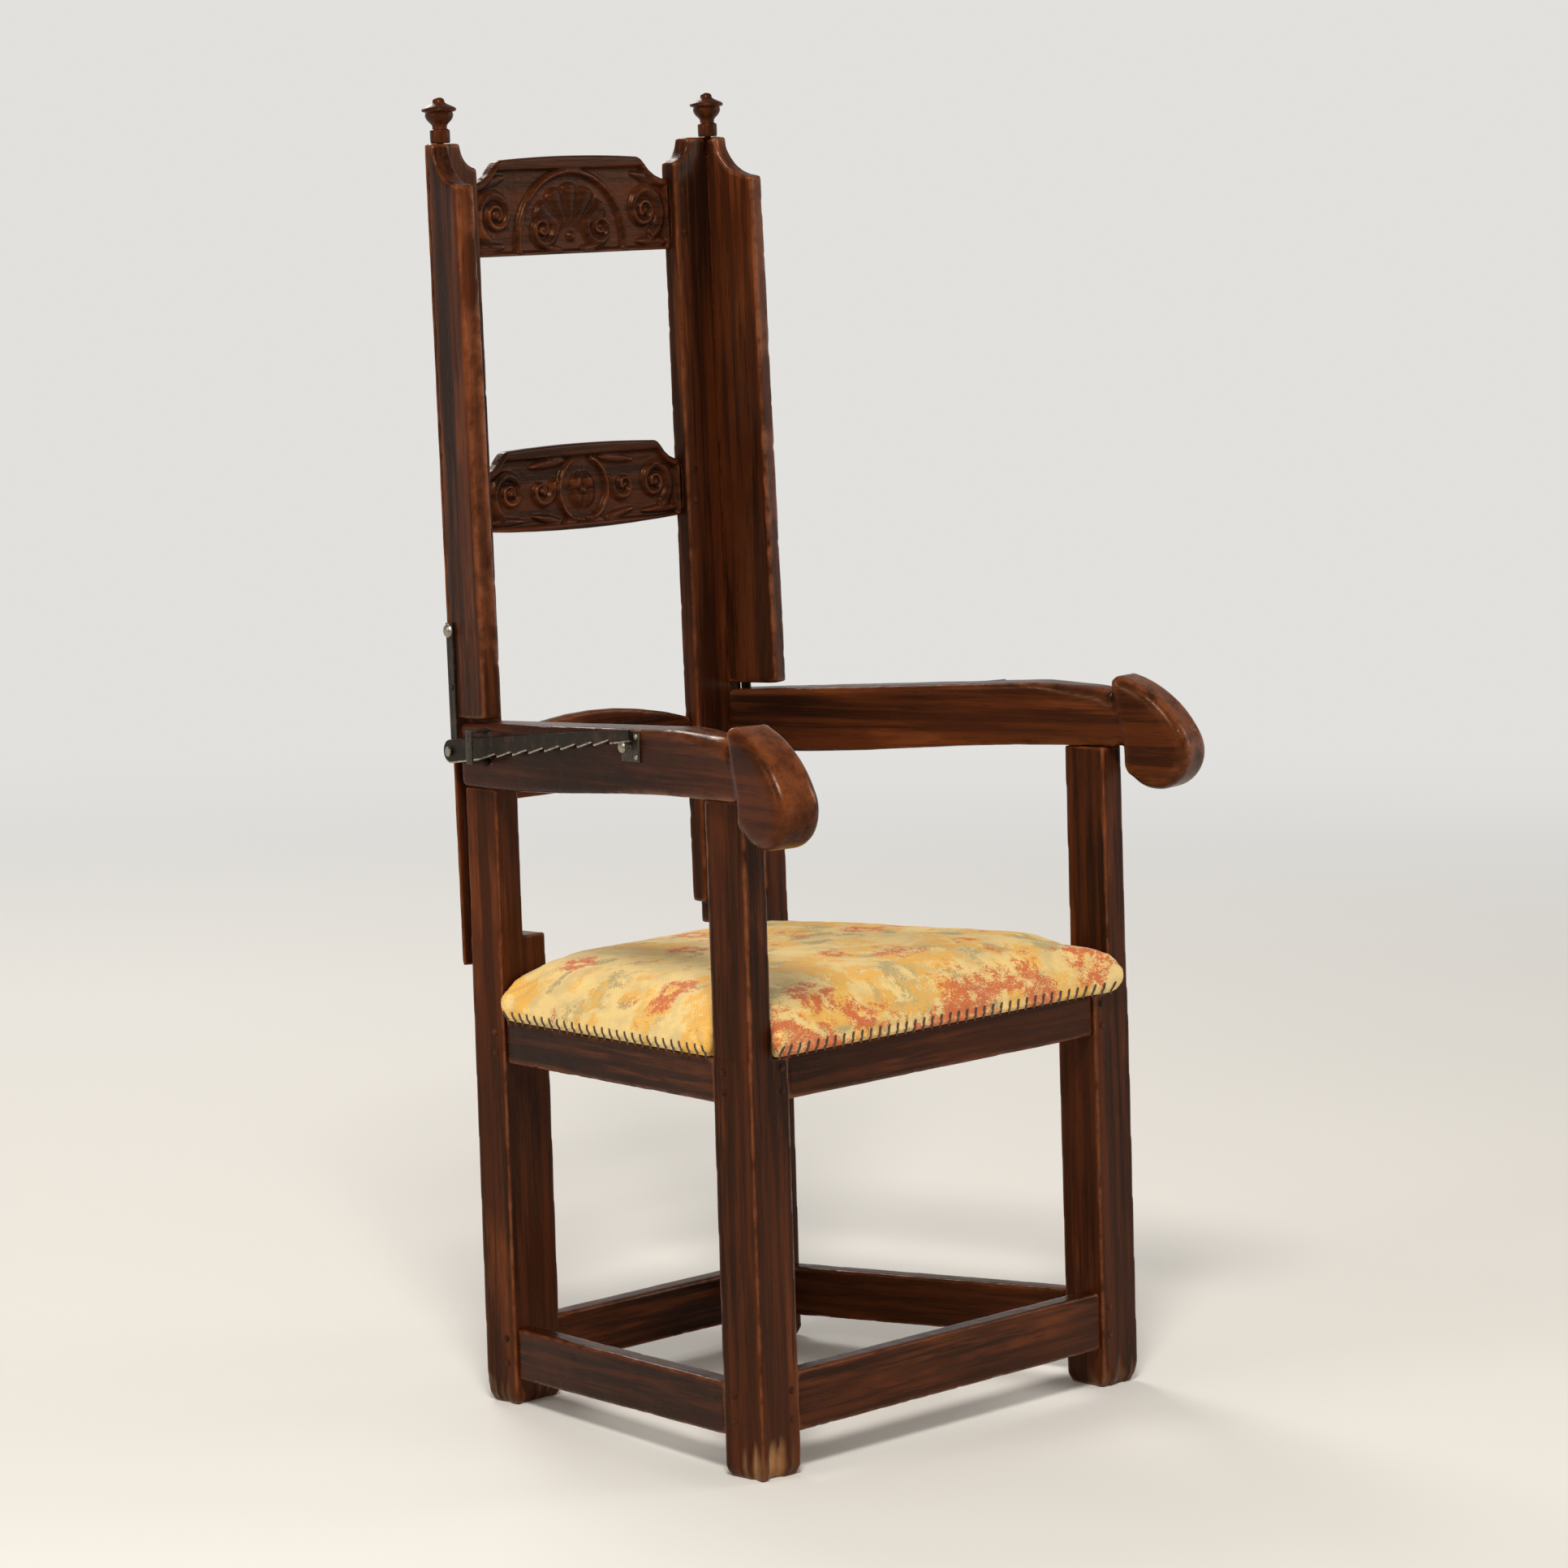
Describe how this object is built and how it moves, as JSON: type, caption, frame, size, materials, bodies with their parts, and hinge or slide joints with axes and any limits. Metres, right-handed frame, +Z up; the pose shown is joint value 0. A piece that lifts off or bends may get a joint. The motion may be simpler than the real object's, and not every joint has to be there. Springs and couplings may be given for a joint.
{
  "type": "sleeping chair",
  "caption": "Joined oak armchair with scrolled arms, a stuffed seat and a tall winged back that is let down on toothed iron bars at the arms.",
  "frame": {"origin": "on the floor, under the middle of the chair's outline in plan", "axes": "+Z up, -Y the way the sitter faces, +X the sitter's left"},
  "size_m": [0.64, 0.6016, 1.3117],
  "materials": {
    "waxed_oak": "dark waxed oak",
    "forged_iron": "dark forged iron, bright where worn",
    "needlework": "wool needlework with a floral pattern",
    "jute_webbing": "woven jute"
  },
  "bodies": {
    "frame": {"front_leg_right": "waxed_oak", "front_leg_left": "waxed_oak", "rear_leg_right": "waxed_oak", "rear_leg_left": "waxed_oak", "side_seat_rail_right": "waxed_oak", "side_seat_rail_left": "waxed_oak", "side_stretcher_right": "waxed_oak", "side_stretcher_left": "waxed_oak", "arm_right": "waxed_oak", "arm_left": "waxed_oak", "front_seat_rail": "waxed_oak", "rear_seat_rail": "waxed_oak", "front_stretcher": "waxed_oak", "rear_stretcher": "waxed_oak", "seat_webbing": "jute_webbing", "seat_pad": "needlework", "hinge_lower_leaf_right": "forged_iron", "hinge_lower_leaf_left": "forged_iron", "hinge_pin_right": "forged_iron", "hinge_pin_left": "forged_iron", "catch_staple_right": "forged_iron", "catch_staple_left": "forged_iron", "rest_plate_right": "forged_iron", "rest_plate_left": "forged_iron", "rest_stud_right": "forged_iron", "rest_stud_left": "forged_iron", "hinge_leg_nail_right_1": "forged_iron", "hinge_leg_nail_right_2": "forged_iron", "hinge_leg_nail_left_1": "forged_iron", "hinge_leg_nail_left_2": "forged_iron", "rest_rivet_right_1": "forged_iron", "rest_rivet_right_2": "forged_iron", "rest_rivet_left_1": "forged_iron", "rest_rivet_left_2": "forged_iron"},
    "back": {"stile_right": "waxed_oak", "stile_left": "waxed_oak", "wing_right": "waxed_oak", "wing_left": "waxed_oak", "finial_right": "waxed_oak", "finial_left": "waxed_oak", "crest_rail": "waxed_oak", "middle_back_rail": "waxed_oak", "lower_back_rail": "waxed_oak", "hinge_upper_leaf_right": "forged_iron", "hinge_upper_leaf_left": "forged_iron", "back_strap_right": "forged_iron", "back_strap_left": "forged_iron", "strap_knob_right": "forged_iron", "strap_knob_left": "forged_iron", "strap_nail_right": "forged_iron", "strap_nail_left": "forged_iron", "rack_pin_right": "forged_iron", "rack_pin_left": "forged_iron", "hinge_stile_nail_right_1": "forged_iron", "hinge_stile_nail_right_2": "forged_iron", "hinge_stile_nail_left_1": "forged_iron", "hinge_stile_nail_left_2": "forged_iron"},
    "rack_right": {"rack_bar_right": "forged_iron"},
    "rack_left": {"rack_bar_left": "forged_iron"}
  },
  "joints": [
    {"name": "back_recline", "type": "hinge", "parent": "frame", "child": "back", "pos_m": [0, 0.23461, 0.43704], "axis": [-1, 0, 0], "range_deg": [0, 35]},
    {"name": "rack_right_pivot", "type": "hinge", "parent": "back", "child": "rack_right", "pos_m": [-0.22047, 0.24757, 0.66067], "axis": [0.9701, -0.1618, 0.1807], "range_deg": [0, 27]},
    {"name": "rack_left_pivot", "type": "hinge", "parent": "back", "child": "rack_left", "pos_m": [0.22047, 0.24757, 0.66067], "axis": [0.9701, 0.1618, -0.1807], "range_deg": [0, 27]}
  ],
  "couplings": [
    {"joint": "rack_right_pivot", "follows": "back_recline", "ratio": 0.76},
    {"joint": "rack_left_pivot", "follows": "back_recline", "ratio": 0.76}
  ]
}
